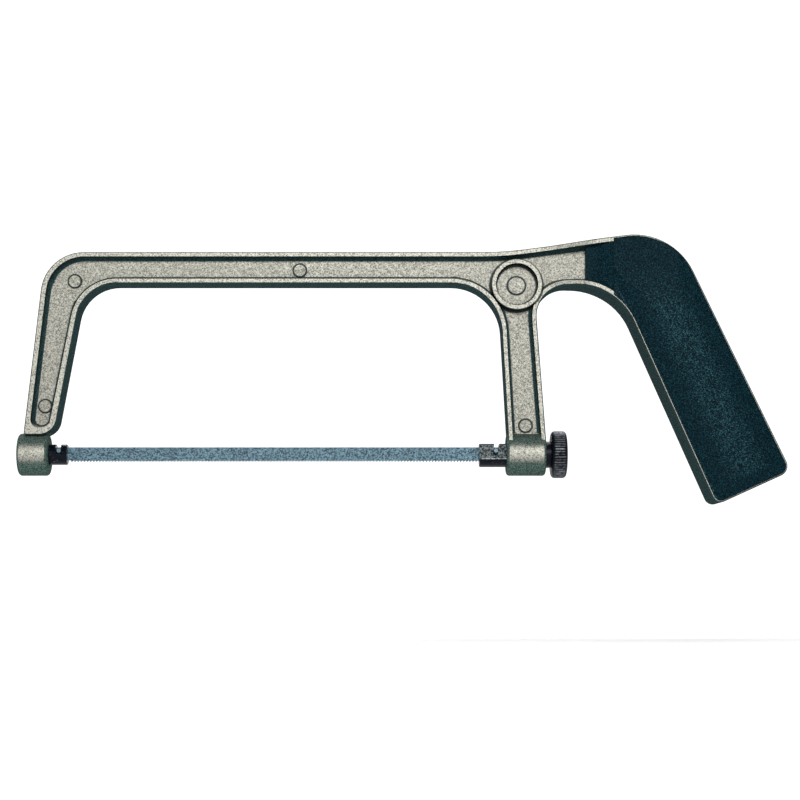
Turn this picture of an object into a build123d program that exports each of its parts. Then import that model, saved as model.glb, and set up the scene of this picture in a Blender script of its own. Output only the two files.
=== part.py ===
"""Small bow saw for metal, modelled in millimetres.

The blade line is the X axis. The origin is midway between the blade's two pins, on
the centre line of the blade strip. The handle is at +X, +Z is up with the teeth
facing down, and Y runs through the thickness of the casting.
"""
from build123d import *
import math
import os

FAR_OUT = 250.0  # cutters reach this far, beyond every piece
PAST = 1.0  # how far a cutter runs past the face it opens

# ---- frame casting: overall section ----
BOW_HALF = 5.5  # half thickness of the bow's rims
HANDLE_HALF = 8.25  # half thickness of the rims in the handle
FLARE_START = 92.0  # where the thickness begins to grow, along X
FLARE_END = 108.0
FLARE_RADIUS = 26.0  # softens both ends of the flare
WEB_HALF = 2.0
RIM = 1.5  # width of each rim
ROOT_FILLET = 1.5  # between rim and web
EDGE_ROUND = 0.4  # outer cast edges of the rims
SAME_LEVEL = 0.01  # closer than this counts as the same level

# ---- frame casting: outline levels ----
BAR_TOP = 68.6
BAR_BOTTOM = 57.9
FOOT = 6.4  # underside of the front arm's foot
ARM_END = 3.6  # the rear arm's rims run down into its boss
FINGER_TOP = 57.2  # where the bar meets the rear arm and the handle

# ---- frame casting: outline as (x, z, radius), clockwise from the front arm's foot ----
TOE = (-85.7, FOOT, 0.8)
BROW = (-78.8, BAR_TOP, 14.5)
RISE = (76.5, BAR_TOP, 110.0)
CREST = (133.8, 76.0, 22.0)
BUTT_BACK = (173.0, -6.1, 3.6)
BUTT_FRONT = (147.7, -17.6, 3.0)
THROAT = (114.9, FINGER_TOP, 21.6)
ARMPIT = (87.1, FINGER_TOP, 10.5)
ARM_BACK = (91.0, ARM_END, 0.0)
ARM_FRONT = (78.2, ARM_END, 0.0)
BOW_REAR = (75.2, BAR_BOTTOM, 17.0)
BOW_FRONT = (-66.0, BAR_BOTTOM, 13.7)
HEEL = (-75.4, FOOT, 6.0)

# ---- channels: each outline corner, its step inward in x and z, and its own radius ----
CHANNEL_STEPS = [
    (TOE, 2.0, 2.4, 2.8),
    (BROW, 1.6, -RIM, 13.0),
    (RISE, 0.0, -RIM, 108.5),
    (CREST, -1.0, -1.7, 20.5),
    (BUTT_BACK, -2.0, 0.7, 2.6),
    (BUTT_FRONT, 0.8, 2.0, 2.4),
    (THROAT, 0.9, RIM, 23.1),
    (ARMPIT, -1.6, RIM, 12.0),
    (ARM_BACK, -RIM, 0.0, 0.0),
    (ARM_FRONT, RIM, 0.0, 0.0),
    (BOW_REAR, RIM, RIM, 18.5),
    (BOW_FRONT, -1.3, RIM, 15.2),
    (HEEL, -1.7, 2.4, 3.2),
]

# ---- bosses on the blade line ----
BOSS_R = 7.2
BOSS_ROUND = 1.1
FRONT_BOSS = (-87.9, -77.6)
REAR_BOSS = (77.7, 91.0)

# ---- cast details on the web ----
RING = (81.3, 57.6)
RING_R = 8.65
RING_WALL = 1.45
RING_PAD_R = 3.0
PAD_R = 2.2
PAD_HEIGHT = 0.4
PADS = [(-69.2, 59.1), (7.5, 62.8), (-78.9, 16.4), (84.2, 9.7)]

# ---- grips ----
TONGUE_START = 104.7
TONGUE_HALF = 5.4  # half thickness over the tongue's low front
TONGUE_RAMP = 107.0  # where the tongue starts to rise to the panel
TONGUE_RAMP_R = 9.0
PALM_START = 113.8
FOOT_HEIGHT = 1.5  # the insert's foot clears the rounded roots of the rims
FOOT_INSET = 1.45
SEAT_GAP = 0.1  # between a grip and the walls of its channel
PALM_INSET = 0.55  # rim left bare round the palm swell
PALM_PEAK = 11.2  # half thickness at the crest of the palm swell
PALM_EDGE = 0.35  # height of the palm swell at its edge
LEAN = 24.6  # handle axis from the vertical, degrees
PALM_CENTRE = (145.7, 20.5)  # a point on the handle's centre line
PALM_HALF_WIDTH = 12.8
PALM_TOP = 55.0  # along the handle axis, from its centre point
PALM_BOTTOM = -37.0
PALM_TOP_RUN = 20.0  # length over which the crown rises
PALM_BOTTOM_RUN = 7.0
PALM_END_R = 28.0

# ---- grip screws ----
SCREWS = [(119.4, 62.4), (158.0, 2.0)]
SCREW_R = 1.5
SCREW_FIT = 0.15
SCREW_HEAD_R = 2.8
SCREW_HEAD = 1.8
SCREW_SINK = 8.6  # how deep the screw passes from its seat
SCREW_SEAT = 6.4  # distance of the head's seat from the mid plane
SCREW_HEAD_FIT = 0.2
SCREW_HEAD_ROUND = 0.7
SCREW_END_GAP = 0.2  # between the screw's point and the bottom of its hole
CROSS_DEPTH = 1.0
CROSS_HALF = (1.75, 0.32)  # half length and half width of the recess's arms

# ---- blade ----
PIN_SPAN = 148.2
PIN_Z = 1.2
PIN_R = 0.8
PIN_HALF = 2.75
PIN_CHAMFER = 0.12
BLADE_HALF = 0.325
BLADE_TOP = 2.5
BLADE_BOTTOM = -2.5
BLADE_END = 2.85  # strip beyond each pin
BLADE_CORNER = 0.8
TOOTH_PITCH = 1.058
TOOTH_DEPTH = 0.55
TOOTH_SPAN = 141.0
TOOTH_LEAN = 0.8  # place of each tooth's point along its pitch

# ---- blade stud (front) and draw bar (rear) ----
SLOT_HALF = 0.45
NOTCH_GAP = 0.08
NOTCH_LEAN = 8.0  # tops of the hook notches lean away from the blade, degrees
NOTCH_BELOW = 1.0  # notch runs on below the pin centre
NOTCH_TALL = 8.0  # cutter's reach above the pin centre
STUD_R = 3.5
STUD_NOSE = -71.4
STUD_TAIL = -85.6
STUD_SLOT_END = -77.5
STUD_CHAMFER = 0.3
BAR_R = 4.25
BAR_NOSE = 68.5
BAR_SHOULDER = 83.4
BAR_SLOT_END = 78.4
BAR_FIT = 0.06
BAR_NOSE_ROUND = 0.5
CHEEK_HALF = 3.0  # half width over the milled cheeks
CHEEK_LEDGE = -1.9
CHEEK_END = 82.0
KEY_FLAT = 3.55  # flat along the bar's top that keeps it from turning
BORE_FLOOR = 87.0
TAIL_R = 2.5
TAIL_FIT = 0.06
TAIL_END = 97.2
TAIL_CHAMFER = 0.4
THREAD_START = 89.2
THREAD_PITCH = 0.8
THREAD_DEPTH = 0.35
THREAD_HALF = 0.32  # half width of a groove at the surface

# ---- collar and nut ----
COLLAR_R = 4.5
COLLAR_CHAMFER = 0.15
NUT_START = 92.9
NUT_END = 98.1
NUT_R = 8.0
NUT_ROUND = 1.3
FLUTES = 54
FLUTE_DEPTH = 0.38
FLUTE_SHARE = 0.8  # share of the pitch that a flute takes
NUT_RECESS_R = 4.2
NUT_RECESS = 0.5


def rounded(corners):
    """Closed face in the XZ plane from corner points that each carry a radius."""
    points = [(x, z) for x, z, _ in corners]
    face = make_face(Polyline(*points, close=True))
    for x, z, radius in corners:
        if radius > 0:
            nearest = face.vertices().sort_by_distance((x, z, 0))[0]
            face = fillet(nearest, radius)
    return Plane.XZ * face


def slab(face, low, high):
    """Solid of an XZ face between two distances in front of the mid plane (-Y side)."""
    return Pos(0, -low, 0) * extrude(face, high - low)


def round_bar(radius, start, end):
    """Cylinder along the blade line from X = start to X = end."""
    middle = (start + end) / 2
    return Pos(middle, 0, 0) * Rot(0, 90, 0) * Cylinder(radius, end - start)


def block(x_range, y_range, z_range):
    """Box from its limits along X, Y and Z."""
    lows = (x_range[0], y_range[0], z_range[0])
    sizes = (x_range[1] - x_range[0], y_range[1] - y_range[0], z_range[1] - z_range[0])
    return Pos(*lows) * Box(*sizes, align=(Align.MIN, Align.MIN, Align.MIN))


def cross_pin(radius, x, z, low, high):
    """Cylinder along Y at (x, z), from low to high in front of the mid plane."""
    disc = Plane.XZ * (Pos(x, z) * Circle(radius))
    return slab(disc, low, high)


def casting_corners():
    """Corners of the casting's outline."""
    bow = [TOE, BROW, RISE, CREST, BUTT_BACK, BUTT_FRONT, THROAT]
    return bow + [ARMPIT, ARM_BACK, ARM_FRONT, BOW_REAR, BOW_FRONT, HEEL]


def channel_corners():
    """Corners of the channel between the rims."""
    return [(corner[0] + dx, corner[1] + dz, radius) for corner, dx, dz, radius in CHANNEL_STEPS]


def thickness_plan():
    """Plan of the casting: parallel rims on the bow, flaring to the handle."""
    side = [
        (-FAR_OUT, BOW_HALF),
        (FLARE_START, BOW_HALF),
        (FLARE_END, HANDLE_HALF),
        (FAR_OUT, HANDLE_HALF),
    ]
    near = FilletPolyline(*side, radius=FLARE_RADIUS)
    far = mirror(near, Plane.XZ)
    ends = Line(side[0], (side[0][0], -BOW_HALF)) + Line(side[-1], (side[-1][0], -HANDLE_HALF))
    return extrude(make_face(near + far + ends), FAR_OUT, both=True)


def channel(side):
    """Channel cut from one face down to the web, with a rounded root."""
    cut = slab(rounded(channel_corners()), WEB_HALF, HANDLE_HALF + PAST)
    floor = cut.faces().filter_by(Axis.Y).sort_by(Axis.Y)[-1]
    cut = fillet(floor.edges(), ROOT_FILLET)
    return cut if side > 0 else mirror(cut, Plane.XZ)


def ring_boss():
    """Raised ring at the junction of bar, rear arm and handle, with a low centre pad."""
    ring = cross_pin(RING_R, *RING, -BOW_HALF, BOW_HALF)
    for side in (1, -1):
        inner = cross_pin(RING_R - RING_WALL, *RING, WEB_HALF, BOW_HALF + PAST)
        ring -= inner if side > 0 else mirror(inner, Plane.XZ)
    ring += cross_pin(RING_PAD_R, *RING, -WEB_HALF - PAD_HEIGHT, WEB_HALF + PAD_HEIGHT)
    return ring


def web_pads():
    """Four low round pads on both faces of the web."""
    half = WEB_HALF + PAD_HEIGHT
    return [cross_pin(PAD_R, x, z, -half, half) for x, z in PADS]


def boss(limits):
    """Round boss on the blade line with soft end edges."""
    body = round_bar(BOSS_R, *limits)
    return fillet(body.edges().filter_by(GeomType.CIRCLE), BOSS_ROUND)


def keyed_bar(radius, flat, start, end):
    """Round bar along the blade line with one flat along its top."""
    above = block((start - PAST, end + PAST), (-radius, radius), (flat, radius + PAST))
    return round_bar(radius, start, end) - above


def screw_holes():
    """Clearance holes through the web for the grip screws."""
    return [cross_pin(SCREW_R + SCREW_FIT, x, z, -HANDLE_HALF, HANDLE_HALF) for x, z in SCREWS]


def casting_blank():
    """Casting without its channels: the outline in its thickness, outer edges rounded."""
    blank = extrude(rounded(casting_corners()), HANDLE_HALF, both=True) & thickness_plan()
    rims = []
    for edge in blank.edges():
        if min(abs((edge @ share).Y) for share in (0, 0.5, 1)) > BOW_HALF - SAME_LEVEL:
            rims.append(edge)
    return fillet(rims, EDGE_ROUND)


def frame():
    """The whole casting: bow, handle bar, bosses, ring boss and pads."""
    body = casting_blank()
    body -= [channel(1), channel(-1)]
    body += ring_boss()
    body += web_pads()
    body += [boss(FRONT_BOSS), boss(REAR_BOSS)]
    body -= round_bar(STUD_R, STUD_TAIL, FRONT_BOSS[1] + PAST)
    body -= keyed_bar(BAR_R + BAR_FIT, KEY_FLAT + BAR_FIT, REAR_BOSS[0] - PAST, BORE_FLOOR)
    body -= round_bar(TAIL_R + TAIL_FIT, BORE_FLOOR - PAST, REAR_BOSS[1] + PAST)
    body -= screw_holes()
    return body


def palm_swell():
    """Crown of the palm: an arc across the handle, rising slowly from both of its ends."""
    base = HANDLE_HALF + PALM_EDGE
    rise = PALM_PEAK - base
    radius = (PALM_HALF_WIDTH**2 + rise**2) / (2 * rise)
    across = extrude(Plane.XY * (Pos(0, radius - PALM_PEAK) * Circle(radius)), FAR_OUT, both=True)
    heights = [
        (-base, PALM_TOP),
        (-PALM_PEAK, PALM_TOP - PALM_TOP_RUN),
        (-PALM_PEAK, PALM_BOTTOM + PALM_BOTTOM_RUN),
        (-base, PALM_BOTTOM),
    ]
    top = FilletPolyline(*heights, radius=PALM_END_R)
    back = Polyline(heights[-1], (-WEB_HALF, PALM_BOTTOM), (-WEB_HALF, PALM_TOP), heights[0])
    crown = across & extrude(Plane.YZ * make_face(top + back), PALM_HALF_WIDTH, both=True)
    return Pos(PALM_CENTRE[0], 0, PALM_CENTRE[1]) * Rot(0, -LEAN, 0) * crown


def palm_panel():
    """Palm panel that covers the rims but for a thin bright line all round."""
    outline = offset(rounded(casting_corners()), -PALM_INSET)
    panel = slab(outline, HANDLE_HALF, HANDLE_HALF + PALM_EDGE)
    crown = palm_swell() & slab(outline, HANDLE_HALF, PALM_PEAK + PAST)
    return (panel + crown) & block((PALM_START, FAR_OUT), (-FAR_OUT, 0), (-FAR_OUT, FAR_OUT))


def tongue_relief():
    """Cutter that leaves the insert's front low between the rims and ramps up to the panel."""
    steps = [
        (TONGUE_START - PAST, -TONGUE_HALF),
        (TONGUE_RAMP, -TONGUE_HALF),
        (PALM_START, -HANDLE_HALF),
    ]
    low = FilletPolyline(*steps, radius=TONGUE_RAMP_R)
    outside = -HANDLE_HALF - PAST
    back = Polyline(steps[-1], (PALM_START, outside), (steps[0][0], outside), steps[0])
    return extrude(make_face(low + back), FAR_OUT, both=True)


def grip_blank():
    """Left grip: an insert that fills the channel, and the palm panel on top."""
    foot_level = WEB_HALF + FOOT_HEIGHT
    channel_face = rounded(channel_corners())
    insert = slab(offset(channel_face, -SEAT_GAP - FOOT_INSET), WEB_HALF, foot_level)
    insert += slab(offset(channel_face, -SEAT_GAP), foot_level, HANDLE_HALF)
    insert &= block((TONGUE_START, FAR_OUT), (-FAR_OUT, 0), (-FAR_OUT, FAR_OUT))
    return insert - tongue_relief() + palm_panel()


def grip_left():
    """Near-side grip with blind holes for the screws."""
    return grip_blank() - [cross_pin(SCREW_R, x, z, 0, SCREW_SINK - SCREW_SEAT) for x, z in SCREWS]


def grip_right():
    """Far-side grip: the mirrored panel with seats for the screw heads."""
    grip = mirror(grip_blank(), Plane.XZ)
    for x, z in SCREWS:
        grip -= cross_pin(SCREW_R + SCREW_FIT, x, z, -FAR_OUT, 0)
        grip -= cross_pin(SCREW_HEAD_R + SCREW_HEAD_FIT, x, z, -FAR_OUT, -SCREW_SEAT)
    return grip


def grip_screw(x, z):
    """Pan-head screw put in from the far side, with a cross recess."""
    top = SCREW_SEAT + SCREW_HEAD
    screw = cross_pin(SCREW_HEAD_R, x, z, -top, -SCREW_SEAT)
    rim = screw.edges().filter_by(GeomType.CIRCLE).sort_by(Axis.Y)[-1]
    screw = fillet(rim, SCREW_HEAD_ROUND)
    screw += cross_pin(SCREW_R, x, z, -SCREW_SEAT, SCREW_SINK - SCREW_SEAT - SCREW_END_GAP)
    for half_x, half_z in (CROSS_HALF, CROSS_HALF[::-1]):
        depth = (top - CROSS_DEPTH, top + PAST)
        screw -= block((x - half_x, x + half_x), depth, (z - half_z, z + half_z))
    return screw


def hook_notch(side, depth_half):
    """Leaning notch open at the top, seated round the blade pin; side is -1 front, +1 rear."""
    run = NOTCH_TALL + NOTCH_BELOW
    slot = Rot(0, 0, 90) * SlotCenterToCenter(run, 2 * (PIN_R + NOTCH_GAP))
    slot = Pos(0, (NOTCH_TALL - NOTCH_BELOW) / 2) * slot
    face = Pos(side * PIN_SPAN / 2, PIN_Z) * Rot(0, 0, -side * NOTCH_LEAN) * slot
    return slab(Plane.XZ * face, -depth_half, depth_half)


def blade_stud():
    """Front stud fixed in its boss, slotted for the blade and notched for its pin."""
    stud = round_bar(STUD_R, STUD_TAIL, STUD_NOSE)
    stud = chamfer(stud.edges().filter_by(GeomType.CIRCLE), STUD_CHAMFER)
    stud -= block((STUD_SLOT_END, STUD_NOSE + PAST), (-SLOT_HALF, SLOT_HALF), (-BAR_R, BAR_R))
    return stud - hook_notch(-1, STUD_R + PAST)


def thread_groove():
    """V-shaped ring that is cut from the tail for one turn of its thread."""
    valley = (0, TAIL_R - THREAD_DEPTH)
    corners = [(-THREAD_HALF, TAIL_R), valley, (THREAD_HALF, TAIL_R), (0, TAIL_R + THREAD_DEPTH)]
    return revolve(make_face(Polyline(*corners, close=True)), Axis.X, 360)


def tail_rod():
    """Threaded tail, its thread shown as even ring grooves."""
    rod = round_bar(TAIL_R, BAR_SHOULDER - PAST, TAIL_END)
    rod = chamfer(rod.edges().filter_by(GeomType.CIRCLE).sort_by(Axis.X)[-1], TAIL_CHAMFER)
    turns = int((TAIL_END - THREAD_START) / THREAD_PITCH) - 1
    groove = thread_groove()
    return rod - [Pos(THREAD_START + THREAD_PITCH * (i + 0.5), 0, 0) * groove for i in range(turns)]


def draw_bar():
    """Rear blade holder: milled cheeks, blade slot, hook notch, key flat and tail."""
    bar = round_bar(BAR_R, BAR_NOSE, BAR_SHOULDER)
    bar = fillet(bar.edges().filter_by(GeomType.CIRCLE).sort_by(Axis.X)[0], BAR_NOSE_ROUND)
    ends = (BAR_NOSE - PAST, BAR_SHOULDER + PAST)
    bar -= block(ends, (-BAR_R, BAR_R), (KEY_FLAT, BAR_R + PAST))
    for side in (1, -1):
        low, high = sorted((side * CHEEK_HALF, side * (BAR_R + PAST)))
        bar -= block((BAR_NOSE - PAST, CHEEK_END), (low, high), (CHEEK_LEDGE, BAR_R))
    bar += tail_rod()
    bar -= block((BAR_NOSE - PAST, BAR_SLOT_END), (-SLOT_HALF, SLOT_HALF), (-BAR_R - PAST, BAR_R))
    return bar - hook_notch(1, BAR_R + PAST)


def thrust_collar():
    """Plain collar between the rear boss and the nut."""
    collar = round_bar(COLLAR_R, REAR_BOSS[1], NUT_START)
    collar -= round_bar(TAIL_R + TAIL_FIT, REAR_BOSS[1] - PAST, NUT_START + PAST)
    return chamfer(collar.edges().filter_by(GeomType.CIRCLE), COLLAR_CHAMFER)


def flute_cutter():
    """Long V-shaped prism that cuts one flute along the nut's rim."""
    half = NUT_R * math.pi / FLUTES * FLUTE_SHARE
    outside = NUT_R + FLUTE_DEPTH / 2
    groove = Polyline((outside, -half), (NUT_R - FLUTE_DEPTH, 0), (outside, half), close=True)
    cutter = extrude(Plane.YZ * make_face(groove), NUT_END - NUT_START + 2 * PAST)
    return Pos(NUT_START - PAST, 0, 0) * cutter


def tension_nut():
    """Straight-knurled nut with rounded rims and a shallow recess round its bore."""
    nut = round_bar(NUT_R, NUT_START, NUT_END)
    nut = fillet(nut.edges().filter_by(GeomType.CIRCLE), NUT_ROUND)
    nut -= round_bar(NUT_RECESS_R, NUT_END - NUT_RECESS, NUT_END + PAST)
    nut -= round_bar(TAIL_R + TAIL_FIT, NUT_START - PAST, NUT_END + PAST)
    cutter = flute_cutter()
    return nut - [Rot(360 / FLUTES * i, 0, 0) * cutter for i in range(FLUTES)]


def tooth_points():
    """Lower edge of the blade from the handle end to the front, teeth raking forward."""
    count = round(TOOTH_SPAN / TOOTH_PITCH)
    start = count * TOOTH_PITCH / 2
    points = []
    for i in range(count):
        x = start - i * TOOTH_PITCH
        points.append((x, BLADE_BOTTOM + TOOTH_DEPTH))
        points.append((x - TOOTH_PITCH * TOOTH_LEAN, BLADE_BOTTOM))
    points.append((start - count * TOOTH_PITCH, BLADE_BOTTOM + TOOTH_DEPTH))
    return points


def blade():
    """Toothed strip with a hole near each end for its pins."""
    end = PIN_SPAN / 2 + BLADE_END
    heel = BLADE_BOTTOM + TOOTH_DEPTH
    inner = end - BLADE_CORNER
    low = heel + BLADE_CORNER
    high = BLADE_TOP - BLADE_CORNER
    outline = [(-end, low), (-end, high), (-inner, BLADE_TOP), (inner, BLADE_TOP)]
    outline += [(end, high), (end, low), (inner, heel)]
    outline += tooth_points() + [(-inner, heel)]
    strip = slab(Plane.XZ * make_face(Polyline(*outline, close=True)), -BLADE_HALF, BLADE_HALF)
    holes = [cross_pin(PIN_R, side * PIN_SPAN / 2, PIN_Z, -PIN_HALF, PIN_HALF) for side in (-1, 1)]
    return strip - holes


def blade_pin(side):
    """Cross pin pressed through the blade; side is -1 front, +1 rear."""
    pin = cross_pin(PIN_R, side * PIN_SPAN / 2, PIN_Z, -PIN_HALF, PIN_HALF)
    return chamfer(pin.edges().filter_by(GeomType.CIRCLE), PIN_CHAMFER)


def main():
    """Build every piece and write one STEP file for each."""
    pieces = {
        "frame": frame(),
        "grip_left": grip_left(),
        "grip_right": grip_right(),
        "grip_screws": Compound([Part() + grip_screw(x, z) for x, z in SCREWS]),
        "blade_stud": blade_stud(),
        "draw_bar": draw_bar(),
        "thrust_collar": thrust_collar(),
        "tension_nut": tension_nut(),
        "blade": blade(),
        "blade_pin_front": blade_pin(-1),
        "blade_pin_rear": blade_pin(1),
    }
    os.makedirs("parts", exist_ok=True)
    for name, shape in pieces.items():
        export_step(shape, f"parts/{name}.step")


main()
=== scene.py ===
"""Small bow hacksaw: the finishes of its pieces and the studio round it, in metres."""
import math

import bpy
import numpy as np
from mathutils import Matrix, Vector


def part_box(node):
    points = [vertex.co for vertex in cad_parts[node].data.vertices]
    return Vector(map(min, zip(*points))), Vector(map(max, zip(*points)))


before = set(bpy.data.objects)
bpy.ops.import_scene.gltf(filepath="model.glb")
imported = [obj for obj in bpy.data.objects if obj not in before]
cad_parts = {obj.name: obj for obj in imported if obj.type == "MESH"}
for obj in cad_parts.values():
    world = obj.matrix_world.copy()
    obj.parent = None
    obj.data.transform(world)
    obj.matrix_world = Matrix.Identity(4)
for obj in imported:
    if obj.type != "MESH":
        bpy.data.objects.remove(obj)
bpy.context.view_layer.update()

bl_info = {
    "name": "Small Bow Hacksaw",
    "version": (1, 0, 0),
    "blender": (4, 5, 0),
    "location": "View3D > Sidebar > Hacksaw",
    "description": "Finishes and studio for a small bow hacksaw",
    "category": "Object",
}

MM = 0.001
FRAME_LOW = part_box("frame")[0]
BLADE_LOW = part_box("blade")[0]
NUT_LOW, NUT_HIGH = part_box("tension_nut")
CHEEK_LEVEL = 3.0 * MM
CHEEK_LEDGE = -1.9 * MM
TOOTH_BAND = 0.8 * MM
# heights over which the grips' painted highlight fades out towards the top
SHEEN_FADE = (48.0 * MM, 64.0 * MM)

# grain of the finishes, in features per metre
SPECKLE = 2300.0
MOTTLE = 1100.0
PITS = 1300.0
CAST_CLOUD = 60.0
GRIP_WARP = 1500.0
GRIP_CELLS = 2500.0
GRIP_CLOUD = 120.0
NICKS = 3800.0
NUT_WEAR = 700.0
BLADE_MOTTLE = 2700.0
BLADE_STAIN = 260.0
PLATING_SWIRL = 3000.0
PLATING_HAZE = 500.0
CARD_TOOTH = 900.0
MILLING = 1300.0
KNURL_DIRT = 5200.0
SWIRL = (1900.0, 1900.0, 2300.0)
TURNING = (9000.0, 300.0, 300.0)
ROLLING = (350.0, 5200.0, 5200.0)

# fixed tones of the finishes and of their painted shade and highlights
PIT_DARK = (0.10, 0.11, 0.09)
# painted shade on the curved flanks of the two bosses
BOSS_SHADE_DEEP = (0.016, 0.036, 0.032)
BOSS_SHADE_PALE = (0.095, 0.138, 0.120)
# painted shade on the casting's walls and creases
WALL_SHADE_DEEP = (0.001, 0.010, 0.012)
WALL_SHADE_PALE = (0.011, 0.042, 0.046)
# painted shade at the roots of the ring and pads
ROOT_SHADE = (0.008, 0.016, 0.016)
# pale grains of the grips, also used for their painted highlight
GRAIN_PALE = (0.032, 0.084, 0.100)
OIL = (0.035, 0.032, 0.045)
BARE_NICK = (0.42, 0.44, 0.47)
# painted highlight along the ledge of the draw bar's cheeks
LEDGE_GLINT = (0.42, 0.44, 0.45)
# nut crests rubbed bare, drawn brighter as a painted highlight too
CREST_WEAR_AND_SHEEN = (0.15, 0.16, 0.18)
MILLED_DEEP = (0.001, 0.006, 0.008)
MILLED_PALE = (0.130, 0.150, 0.155)
SCREW_ZINC = (0.5, 0.5, 0.49)
PIN_STEEL = (0.11, 0.15, 0.18)

# studio: the card's reach, the two lights and the camera's shifts
CARD_SIDE, CARD_NEAR, CARD_FAR = 3.0, -4.0, 0.8
KEY_PLACE, KEY_AIM, KEY_SIZE, KEY_POWER = (0.08, -1.05, 0.42), (0.04, 0.0, 0.03), (0.34, 0.34), 10.4
TOP_PLACE, TOP_AIM, TOP_SIZE, TOP_POWER = (0.0, 0.9, 1.3), (0.0, 0.4, -0.06), (1.6, 1.2), 30.0
KEY_TINT, TOP_TINT = (1.0, 0.99, 0.97), (0.97, 0.985, 1.0)
SENSOR_WIDTH = 36.0
CAMERA_SIDE, CAMERA_HEIGHT = 33.1 * MM, -49.5 * MM
CAMERA_TILT = math.radians(3.0)
CAMERA_SHIFT = (0.0313, 0.125)
CAMERA_CLIP = 0.01

# ring boss and pads of the casting: (x from its front end, z from its lowest point) in mm
RING_AT = (169.2, 74.21)
PADS_AT = [(18.7, 75.71), (95.4, 79.41), (9.0, 33.01), (172.1, 26.31)]
# radii and half widths of the painted shade lines round the pads and the ring, in mm
PAD_RADIUS = 2.25
RING_SHADE_LINES = ((8.85, 0.75), (6.95, 0.75), (3.1, 0.5))
RING_EDGE_SHADE = (8.8, 0.6)


def cast_place(spot):
    """A spot on the casting in metres, from its offsets to the casting's low corner."""
    return FRAME_LOW.x + spot[0] * MM, FRAME_LOW.z + spot[1] * MM


# ---------------------------------------------------------------- settings
class SawSizes(bpy.types.PropertyGroup):
    """Sizes that place the finishes and the studio."""

    rim_level: bpy.props.FloatProperty(
        name="Rim level",
        description="Height of the rims above the middle plane of the casting",
        default=5.5 * MM,
        unit="LENGTH",
    )
    boss_radius: bpy.props.FloatProperty(
        name="Boss radius",
        description="Radius of the two round bosses on the blade line",
        default=7.2 * MM,
        unit="LENGTH",
    )
    pad_line: bpy.props.FloatProperty(
        name="Pad line",
        description="Half width of the dark line round a pad",
        default=0.48 * MM,
        unit="LENGTH",
    )
    grip_grain: bpy.props.FloatProperty(
        name="Grip grain",
        description="Spacing of the grains on the grips",
        default=0.42 * MM,
        unit="LENGTH",
    )
    floor_level: bpy.props.FloatProperty(
        name="Floor level",
        description="Height of the studio floor",
        default=-62.0 * MM,
        unit="LENGTH",
    )
    camera_distance: bpy.props.FloatProperty(
        name="Camera distance",
        description="Distance of the camera from the middle plane",
        default=650.0 * MM,
        unit="LENGTH",
    )
    width_seen: bpy.props.FloatProperty(
        name="Width seen",
        description="Width of the picture at the middle plane",
        default=271.6 * MM,
        unit="LENGTH",
    )


class SawColours(bpy.types.PropertyGroup):
    """Colours of the finishes."""

    casting: bpy.props.FloatVectorProperty(
        name="Casting",
        description="Tumbled aluminium",
        default=(0.252, 0.250, 0.221),
        subtype="COLOR",
        min=0,
        max=1,
    )
    grip: bpy.props.FloatVectorProperty(
        name="Grip",
        description="Moulded grip plastic",
        default=(0.0004, 0.0115, 0.0180),
        subtype="COLOR",
        min=0,
        max=1,
    )
    blade: bpy.props.FloatVectorProperty(
        name="Blade",
        description="Satin blade steel",
        default=(0.085, 0.140, 0.175),
        subtype="COLOR",
        min=0,
        max=1,
    )
    black_steel: bpy.props.FloatVectorProperty(
        name="Black steel",
        description="Oxide black of the holders and nut",
        default=(0.0025, 0.004, 0.007),
        subtype="COLOR",
        min=0,
        max=1,
    )
    floor: bpy.props.FloatVectorProperty(
        name="Floor",
        description="Plain studio floor",
        default=(0.86, 0.86, 0.86),
        subtype="COLOR",
        min=0,
        max=1,
    )


# ---------------------------------------------------------------- shader graph
class Wire:
    """One output socket; arithmetic on it adds Math nodes to its graph."""

    def __init__(self, graph, socket):
        self.graph = graph
        self.socket = socket

    def math(self, operation, *others):
        """A Math node with this value first."""
        node = self.graph.add("ShaderNodeMath", {"operation": operation}, [self, *others])
        return node[0]

    def __add__(self, other):
        return self.math("ADD", other)

    def __mul__(self, other):
        return self.math("MULTIPLY", other)

    def __sub__(self, other):
        return self.math("SUBTRACT", other)

    def __truediv__(self, other):
        return self.math("DIVIDE", other)

    def __rsub__(self, other):
        return self.graph.add("ShaderNodeMath", {"operation": "SUBTRACT"}, [other, self])[0]

    __radd__ = __add__
    __rmul__ = __mul__

    def ramp(self, low, high):
        """0 below low, 1 above high, smooth between."""
        settings = {"interpolation_type": "SMOOTHSTEP"}
        return self.graph.add("ShaderNodeMapRange", settings, [self, low, high, 0.0, 1.0])[0]


class Outputs:
    """A new node's outputs, by place or name."""

    def __init__(self, graph, node):
        self.graph = graph
        self.node = node

    def __getitem__(self, key):
        return Wire(self.graph, self.node.outputs[key])


class Graph:
    """A node tree that new nodes are added to."""

    def __init__(self, tree):
        self.tree = tree

    def add(self, kind, settings=None, values=()):
        """Any node: its type, its settings, then values or wires for its sockets."""
        node = self.tree.nodes.new(kind)
        for key, value in (settings or {}).items():
            setattr(node, key, value)
        pairs = values.items() if isinstance(values, dict) else enumerate(values)
        for key, value in pairs:
            self.feed(node.inputs[key], value)
        return Outputs(self, node)

    def feed(self, socket, value):
        """A wire is linked, anything else is set on the socket."""
        if isinstance(value, Wire):
            self.tree.links.new(value.socket, socket)
        else:
            socket.default_value = value


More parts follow.
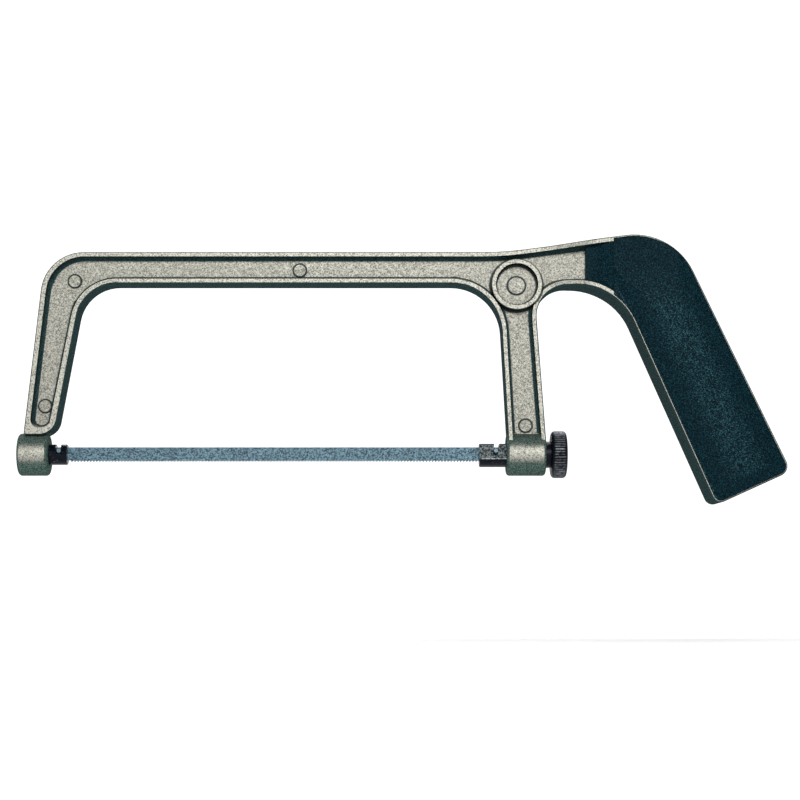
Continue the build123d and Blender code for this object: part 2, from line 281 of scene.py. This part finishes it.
class Finish(Graph):
    """A new material's graph round its principled shader."""

    def __init__(self, name):
        self.material = bpy.data.materials.new(name)
        self.material.use_nodes = True
        super().__init__(self.material.node_tree)
        self.shader = self.tree.nodes["Principled BSDF"]
        self.coordinates = self.add("ShaderNodeTexCoord")
        self.place = self.coordinates["Object"]

    def stretched(self, scale):
        """The object's coordinates scaled per axis."""
        return self.add("ShaderNodeMapping", {}, {0: self.place, 3: scale})[0]

    def noise(self, scale, detail=2.0, rough=0.5, at=None):
        """Fractal noise from 0 to 1, scale in features per metre."""
        sockets = {"Vector": at or self.place, "Scale": scale, "Detail": detail, "Roughness": rough}
        return self.add("ShaderNodeTexNoise", {}, sockets)["Fac"]

    def cells(self, scale, at=None):
        """Distance to the nearest cell centre."""
        return self.add("ShaderNodeTexVoronoi", {}, {"Vector": at or self.place, "Scale": scale})["Distance"]

    def mix(self, factor, first, second):
        """Colour mix of two colours or wires."""
        settings = {"data_type": "RGBA", "clamp_factor": True}
        sockets = {0: factor, 6: rgba(first), 7: rgba(second)}
        return self.add("ShaderNodeMix", settings, sockets)[2]

    def root_lines(self, x, z, roots):
        """Lines along circles round given centres: each (x, z, radius, half width) in metres."""
        lines = None
        for centre_x, centre_z, radius, half in roots:
            away = ((x - centre_x) * (x - centre_x) + (z - centre_z) * (z - centre_z)).math("SQRT")
            off = (away - radius).math("ABSOLUTE")
            line = 1 - off.ramp(half * 0.35, half)
            lines = line if lines is None else lines.math("MAXIMUM", line)
        return lines

    def axes(self):
        """The object's coordinates as three wires."""
        split = self.add("ShaderNodeSeparateXYZ", {}, [self.place])
        return split[0], split[1], split[2]

    def normal(self):
        """The surface normal in the object's own axes as three wires."""
        split = self.add("ShaderNodeSeparateXYZ", {}, [self.coordinates["Normal"]])
        return split[0], split[1], split[2]

    def bump(self, height, distance, strength):
        """Bump normal from a height wire, distance in metres."""
        sockets = {"Strength": strength, "Distance": distance, "Height": height}
        return self.add("ShaderNodeBump", {}, sockets)[0]

    def finish(self, **sockets):
        """Feeds the principled shader; underscores stand for spaces."""
        for key, value in sockets.items():
            self.feed(self.shader.inputs[key.replace("_", " ")], value)
        return self.material


def rgba(colour):
    """A colour tuple gets its alpha; a wire passes."""
    return colour if isinstance(colour, Wire) else (*colour[:3], 1.0)


def tinted(colour, factor):
    """A colour scaled by a number."""
    return tuple(min(1.0, c * factor) for c in colour[:3])


def colours():
    """The scene's finish colours."""
    return bpy.context.scene.saw_colours


def sizes():
    """The scene's sizes."""
    return bpy.context.scene.saw_sizes


def dress(node, material):
    """Gives a piece or CAD node one material."""
    node.data.materials.clear()
    node.data.materials.append(material)


# ---------------------------------------------------------------- finishes
def circles():
    """Painted shade lines round the ring and pads on the web, as (x, z, radius, half width) in metres."""
    lines = [(*cast_place(RING_AT), radius * MM, half * MM) for radius, half in RING_SHADE_LINES]
    return lines + [(*cast_place(spot), PAD_RADIUS * MM, sizes().pad_line) for spot in PADS_AT]


def cast_aluminium():
    """Tumbled die casting: speckled faces, brighter rims, and painted shade on the walls, on the roots and
    on the flanks of the bosses.

    Walls are told from faces by how far their normal turns from Y, rims by their height
    above the web, the roots of pads and ring by their distance from those centres, and
    the bosses by their distance from the blade line.
    """
    g = Finish("tumbled_casting")
    base = tuple(colours().casting)
    rim_level, boss_radius = sizes().rim_level, sizes().boss_radius
    _, sideways, upright = g.normal()
    facing = sideways.math("ABSOLUTE")
    # painted shade: walls turning away from Y are darkened as if unlit, less where they face up
    painted_wall_shade = 1 - facing.ramp(0.80, 0.998)
    x, y, z = g.axes()
    height = y.math("ABSOLUTE")
    rim = height.ramp(rim_level - 0.7 * MM, rim_level - 0.1 * MM)
    # painted shade in the roots round the ring and pads, kept off the higher parts
    painted_root_shade = g.root_lines(x, z, circles()) * (1 - height.ramp(rim_level - 1.2 * MM, rim_level))
    ring_edge_shade = g.root_lines(x, z, [(*cast_place(RING_AT), RING_EDGE_SHADE[0] * MM, RING_EDGE_SHADE[1] * MM)])
    painted_root_shade = painted_root_shade.math("MAXIMUM", ring_edge_shade)
    boss = 1 - (y * y + z * z).math("SQRT").ramp(boss_radius + 0.1 * MM, boss_radius + 0.4 * MM)
    # painted shade in the creases along the roots of the rims
    painted_crease_shade = (1 - facing.ramp(0.95, 0.9995)) * (1 - boss)
    painted_wall_shade = painted_wall_shade.math("MAXIMUM", painted_crease_shade)
    # painted shade on the boss flanks, which turn away from Y
    painted_flank_shade = boss * (1 - facing.ramp(0.84, 1.01)) * (1 - x.ramp(NUT_LOW.x, NUT_LOW.x + MM))
    upward = upright.ramp(0.25, 0.75)
    speckle = g.noise(SPECKLE, 2.0, 0.8)
    mottle = g.noise(MOTTLE, 3.0, 0.6)
    cloud = g.noise(CAST_CLOUD, 2.0)
    pits = 1 - g.cells(PITS).ramp(0.06, 0.26)
    grey = g.mix(speckle.ramp(0.36, 0.60), tinted(base, 0.42), tinted(base, 1.40))
    grey = g.mix(mottle.ramp(0.42, 0.70) * 0.30, grey, tinted(base, 0.55))
    grey = g.mix(cloud.ramp(0.4, 0.75) * 0.18, grey, tinted(base, 0.8))
    grey = g.mix(pits * 0.40, grey, PIT_DARK)
    # dull: the tone of the painted shade on the boss flanks
    dull = g.mix(speckle.ramp(0.38, 0.62), BOSS_SHADE_DEEP, BOSS_SHADE_PALE)
    # dark: the tone of the painted shade on the walls
    dark = g.mix(speckle.ramp(0.35, 0.65), WALL_SHADE_DEEP, WALL_SHADE_PALE)
    shade = g.mix(rim * speckle.ramp(0.35, 0.60) * 0.75, grey, tinted(base, 1.65))
    shade = g.mix(painted_wall_shade * (0.95 - upward * 0.65), shade, dark)
    shade = g.mix(painted_flank_shade * 0.92, shade, dull)
    shade = g.mix(painted_root_shade * 0.92, shade, ROOT_SHADE)
    grain = speckle * 0.6 + mottle * 0.4 - pits * 0.3
    return g.finish(
        Base_Color=shade,
        Metallic=(0.42 + speckle * 0.3) * (1 - painted_wall_shade * (0.9 - upward * 0.5)),
        Roughness=0.42 + mottle * 0.2 + painted_wall_shade * 0.2,
        Normal=g.bump(grain, 0.18 * MM, 0.55),
        Specular_IOR_Level=0.08,
        IOR=1.05,
    )


def grip_plastic():
    """Stippled moulding: fine pale grains on a dark ground; along the middle of the palm swell more grains
    turn pale as a painted highlight, and towards its edges the ground is darkened as painted shade.
    """
    g = Finish("stippled_plastic")
    base = tuple(colours().grip)
    facing = g.normal()[1].math("ABSOLUTE")
    warp = g.noise(GRIP_WARP, 1.0) * 0.3 * MM
    place = g.add("ShaderNodeVectorMath", {"operation": "ADD"}, [g.place, warp])[0]
    grain = 1 - g.cells(GRIP_CELLS, place).ramp(0.10, 0.50)
    fine = g.noise(1.0 / sizes().grip_grain, 2.0, 0.8)
    cloud = g.noise(GRIP_CLOUD, 3.0, 0.6)
    height = grain * 0.45 + fine * 0.75
    shade = g.mix(fine.ramp(0.40, 0.60), tinted(base, 0.30), tinted(base, 1.7))
    # painted highlight along the middle of the palm swell, where the normal faces Y, fading out towards the
    # top
    painted_crown_sheen = facing.ramp(0.965, 0.9995) * (1 - g.axes()[2].ramp(*SHEEN_FADE))
    # painted shade: the ground darkens away from that middle
    shade = g.mix(0.25 - painted_crown_sheen * 0.25, shade, tinted(base, 0.3))
    # the pale grains are real; more of them turn pale along the middle as painted highlight
    shade = g.mix(fine.ramp(0.51, 0.68) * (0.30 + painted_crown_sheen * 0.70), shade, GRAIN_PALE)
    shade = g.mix(cloud.ramp(0.45, 0.8) * 0.25, shade, tinted(base, 0.8))
    return g.finish(
        Base_Color=shade,
        Roughness=0.40 + fine * 0.16 + cloud * 0.06,
        Normal=g.bump(height, 0.16 * MM, 0.8),
        Specular_IOR_Level=0.35,
        IOR=1.14,
    )


def black_steel(name, rough, wear_scale, cheeks=False):
    """Oxide-black steel with turning lines, bright nicks and oily patches; milled cheeks are greyer, with a
    painted highlight along the ledge below them.
    """
    g = Finish(name)
    base = tuple(colours().black_steel)
    lines = g.noise(1.0, 2.0, 0.6, g.stretched(TURNING))
    patches = g.noise(wear_scale, 3.0, 0.65)
    nicks = g.noise(NICKS, 1.0).ramp(0.70, 0.78) * patches.ramp(0.45, 0.62)
    shade = g.mix(lines.ramp(0.35, 0.75) * 0.5, base, tinted(base, 2.4))
    shade = g.mix(patches.ramp(0.5, 0.8) * 0.4, shade, OIL)
    shade = g.mix(nicks * 0.8, shade, BARE_NICK)
    if cheeks:
        _, y, z = g.axes()
        level = 1 - (y.math("ABSOLUTE") - CHEEK_LEVEL).math("ABSOLUTE").ramp(0.03 * MM, 0.1 * MM)
        milled = level * z.ramp(CHEEK_LEDGE + 0.1 * MM, CHEEK_LEDGE + 0.3 * MM)
        # painted highlight: a bright line along the ledge under the milled cheeks, broken up by the patches
        ledge_glint = milled * (1 - z.ramp(CHEEK_LEDGE + 0.3 * MM, CHEEK_LEDGE + 0.6 * MM))
        grey = g.mix(g.noise(MILLING, 3.0, 0.85).ramp(0.46, 0.57), MILLED_DEEP, MILLED_PALE)
        shade = g.mix(milled * 0.9, shade, grey)
        shade = g.mix(ledge_glint * patches.ramp(0.35, 0.55) * 0.8, shade, LEDGE_GLINT)
    return g.finish(
        Base_Color=shade,
        Metallic=0.35,
        Roughness=rough + patches * 0.16,
        Normal=g.bump(lines * 0.6 + nicks * 0.4, 0.04 * MM, 0.5),
        Specular_IOR_Level=0.10,
    )


def knurl_black():
    """Black nut whose flute crests are brighter, partly rubbed bare and partly a painted highlight, and
    whose flutes hold dull dirt.
    """
    g = Finish("knurl_black")
    base = tuple(colours().black_steel)
    _, y, z = g.axes()
    radius = (y * y + z * z).math("SQRT")
    crest = radius.ramp(NUT_HIGH.z - 0.22 * MM, NUT_HIGH.z - 0.02 * MM)
    patches = g.noise(NUT_WEAR, 3.0, 0.65)
    fine = g.noise(KNURL_DIRT, 2.0)
    # crests rubbed bare in patches, their brightness partly a painted highlight
    crest_wear_and_sheen = crest * patches.ramp(0.30, 0.62)
    shade = g.mix(fine.ramp(0.4, 0.7) * 0.5, base, tinted(base, 2.2))
    shade = g.mix(crest_wear_and_sheen * 0.6, shade, CREST_WEAR_AND_SHEEN)
    return g.finish(
        Base_Color=shade,
        Metallic=0.35,
        Specular_IOR_Level=0.1,
        Roughness=0.33 + patches * 0.2 - crest_wear_and_sheen * 0.08,
        Normal=g.bump(fine, 0.05 * MM, 0.4),
    )


def blade_steel():
    """Satin blued strip: rolling streaks along it, swirled grey mottling, brighter ground teeth."""
    g = Finish("blade_steel")
    base = tuple(colours().blade)
    _, _, z = g.axes()
    streak = g.noise(1.0, 3.0, 0.6, g.stretched(ROLLING))
    swirl = g.noise(1.0, 2.0, 0.75, g.stretched(SWIRL))
    mottle = g.noise(BLADE_MOTTLE, 2.0, 0.7)
    stain = g.noise(BLADE_STAIN, 3.0, 0.6)
    heel = BLADE_LOW.z + TOOTH_BAND
    ground = 1 - z.ramp(heel - 0.5 * MM, heel)
    shade = g.mix(swirl.ramp(0.41, 0.58), tinted(base, 0.22), tinted(base, 1.62))
    shade = g.mix(mottle.ramp(0.42, 0.62) * 0.5, shade, tinted(base, 0.6))
    shade = g.mix(stain.ramp(0.45, 0.75) * 0.35, shade, tinted(base, 0.8))
    shade = g.mix(ground * 0.35, shade, tinted(base, 1.1))
    return g.finish(
        Base_Color=shade,
        Metallic=0.6,
        Roughness=0.40 + streak * 0.2 + stain * 0.1,
        Normal=g.bump(streak * 0.5 + swirl * 0.5, 0.08 * MM, 0.6),
        Specular_IOR_Level=0.1,
    )


def plated_steel(name, colour, rough):
    """Bright plated steel with faint swirl marks."""
    g = Finish(name)
    swirl = g.noise(PLATING_SWIRL, 3.0, 0.6)
    haze = g.noise(PLATING_HAZE, 2.0)
    shade = g.mix(swirl.ramp(0.35, 0.7), tinted(colour, 0.7), tinted(colour, 1.15))
    return g.finish(
        Base_Color=g.mix(haze.ramp(0.5, 0.8) * 0.3, shade, tinted(colour, 0.5)),
        Metallic=0.9,
        Roughness=rough + haze * 0.18,
        Normal=g.bump(swirl, 0.03 * MM, 0.4),
    )


def floor_card():
    """Matt pale card with a barely visible tooth."""
    g = Finish("studio_card")
    base = tuple(colours().floor)
    tooth = g.noise(CARD_TOOTH, 2.0)
    shade = g.mix(tooth, tinted(base, 0.985), base)
    return g.finish(Base_Color=shade, Roughness=0.9, Normal=g.bump(tooth, 0.1 * MM, 0.1))


# ---------------------------------------------------------------- meshes, lights and views
def mesh_piece(name, points, faces):
    """A flat-shaded mesh object from an array of points and a list of faces."""
    mesh = bpy.data.meshes.new(name)
    mesh.from_pydata(points.tolist(), [], faces)
    mesh.update()
    piece = bpy.data.objects.new(name, mesh)
    bpy.context.scene.collection.objects.link(piece)
    return piece


def soft_light(name, place, target, size, power, tint):
    """A rectangular area light aimed at a point."""
    data = bpy.data.lights.new(name, "AREA")
    data.shape = "RECTANGLE"
    data.size, data.size_y = size
    data.energy = power
    data.color = tint
    light = bpy.data.objects.new(name, data)
    light.location = place
    direction = Vector(target) - light.location
    light.rotation_euler = direction.to_track_quat("-Z", "Y").to_euler()
    bpy.context.scene.collection.objects.link(light)


# ---------------------------------------------------------------- operators
class SAW_OT_frame(bpy.types.Operator):
    """Finish the cast frame"""

    bl_idname = "saw.frame"
    bl_label = "Frame casting"

    def execute(self, context):
        dress(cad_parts["frame"], cast_aluminium())
        return {"FINISHED"}


class SAW_OT_grips(bpy.types.Operator):
    """Finish the two inlaid grips"""

    bl_idname = "saw.grips"
    bl_label = "Grips"

    def execute(self, context):
        plastic = grip_plastic()
        for name in ("grip_left", "grip_right"):
            dress(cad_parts[name], plastic)
        return {"FINISHED"}


class SAW_OT_screws(bpy.types.Operator):
    """Finish the grip screws"""

    bl_idname = "saw.screws"
    bl_label = "Grip screws"

    def execute(self, context):
        dress(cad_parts["grip_screws"], plated_steel("plated_screw", SCREW_ZINC, 0.28))
        return {"FINISHED"}


class SAW_OT_holders(bpy.types.Operator):
    """Finish the blade stud, the draw bar and the thrust collar"""

    bl_idname = "saw.holders"
    bl_label = "Blade holders"

    def execute(self, context):
        dress(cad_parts["blade_stud"], black_steel("stud_black", 0.10, 500.0))
        dress(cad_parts["draw_bar"], black_steel("bar_black", 0.26, 900.0, cheeks=True))
        dress(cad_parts["thrust_collar"], black_steel("collar_black", 0.3, 700.0))
        return {"FINISHED"}


class SAW_OT_nut(bpy.types.Operator):
    """Finish the knurled tension nut"""

    bl_idname = "saw.nut"
    bl_label = "Tension nut"

    def execute(self, context):
        dress(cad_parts["tension_nut"], knurl_black())
        return {"FINISHED"}


class SAW_OT_blade(bpy.types.Operator):
    """Finish the blade and its two pins"""

    bl_idname = "saw.blade"
    bl_label = "Blade"

    def execute(self, context):
        dress(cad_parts["blade"], blade_steel())
        bright = plated_steel("pin_bright", PIN_STEEL, 0.34)
        for name in ("blade_pin_front", "blade_pin_rear"):
            dress(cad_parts[name], bright)
        return {"FINISHED"}


class SAW_OT_studio(bpy.types.Operator):
    """Set the floor, the lights and the camera"""

    bl_idname = "saw.studio"
    bl_label = "Studio"

    def execute(self, context):
        scene = context.scene
        self.floor()
        self.lights()
        self.surround(scene)
        self.camera(scene)
        return {"FINISHED"}

    def floor(self):
        """A wide pale card below the saw."""
        level = sizes().floor_level
        near, far = (CARD_NEAR, level), (CARD_FAR, level)
        corners = [(-CARD_SIDE, *near), (CARD_SIDE, *near), (CARD_SIDE, *far), (-CARD_SIDE, *far)]
        card = mesh_piece("studio_floor", np.array(corners), [(0, 1, 2, 3)])
        dress(card, floor_card())

    def lights(self):
        """A broad light from the camera's side and another from above and behind."""
        soft_light("key", KEY_PLACE, KEY_AIM, KEY_SIZE, KEY_POWER, KEY_TINT)
        soft_light("top", TOP_PLACE, TOP_AIM, TOP_SIZE, TOP_POWER, TOP_TINT)

    def surround(self, scene):
        """A white surround: a bright band at eye level, brightest behind the saw."""
        world = bpy.data.worlds.new("studio_world")
        world.use_nodes = True
        g = Graph(world.node_tree)
        background = world.node_tree.nodes["Background"]
        split = g.add("ShaderNodeSeparateXYZ", {}, [g.add("ShaderNodeTexCoord")["Generated"]])
        band = 1 - split[2].math("ABSOLUTE").ramp(0.31, 0.50)
        behind = 0.25 + split[1].ramp(-0.35, 0.45) * 0.75
        g.feed(background.inputs["Strength"], 0.2 + band * behind)
        background.inputs["Color"].default_value = (1.0, 1.0, 1.0, 1.0)
        scene.world = world
        scene.view_settings.view_transform = "Standard"

    def camera(self, scene):
        """A camera before the saw, just above the floor and tilted up a little."""
        data = bpy.data.cameras.new("camera")
        camera = bpy.data.objects.new("camera", data)
        distance = sizes().camera_distance
        camera.location = (CAMERA_SIDE, -distance, CAMERA_HEIGHT)
        camera.rotation_euler = (math.pi / 2 + CAMERA_TILT, 0.0, 0.0)
        data.sensor_width = SENSOR_WIDTH
        data.lens = SENSOR_WIDTH * distance / sizes().width_seen
        data.shift_x, data.shift_y = CAMERA_SHIFT
        data.clip_start = CAMERA_CLIP
        scene.collection.objects.link(camera)
        scene.camera = camera


class SAW_PT_panel(bpy.types.Panel):
    """Lists the saw's pieces and sizes"""

    bl_idname = "SAW_PT_panel"
    bl_label = "Hacksaw"
    bl_space_type = "VIEW_3D"
    bl_region_type = "UI"
    bl_category = "Hacksaw"

    def draw(self, context):
        for operator in OPERATORS:
            self.layout.operator(operator.bl_idname)
        for group in (context.scene.saw_sizes, context.scene.saw_colours):
            box = self.layout.box()
            for key in group.__annotations__:
                box.prop(group, key)


OPERATORS = (
    SAW_OT_frame,
    SAW_OT_grips,
    SAW_OT_screws,
    SAW_OT_holders,
    SAW_OT_nut,
    SAW_OT_blade,
    SAW_OT_studio,
)
CLASSES = (SawSizes, SawColours, *OPERATORS, SAW_PT_panel)


def register():
    """Adds the classes and the scene's settings."""
    for cls in CLASSES:
        bpy.utils.register_class(cls)
    bpy.types.Scene.saw_sizes = bpy.props.PointerProperty(type=SawSizes)
    bpy.types.Scene.saw_colours = bpy.props.PointerProperty(type=SawColours)


def unregister():
    """Takes the classes and settings away."""
    del bpy.types.Scene.saw_colours
    del bpy.types.Scene.saw_sizes
    for cls in reversed(CLASSES):
        bpy.utils.unregister_class(cls)


def main():
    """Builds every piece in order."""
    register()
    bpy.ops.saw.frame()
    bpy.ops.saw.grips()
    bpy.ops.saw.screws()
    bpy.ops.saw.holders()
    bpy.ops.saw.nut()
    bpy.ops.saw.blade()
    bpy.ops.saw.studio()


if __name__ == "__main__":
    main()
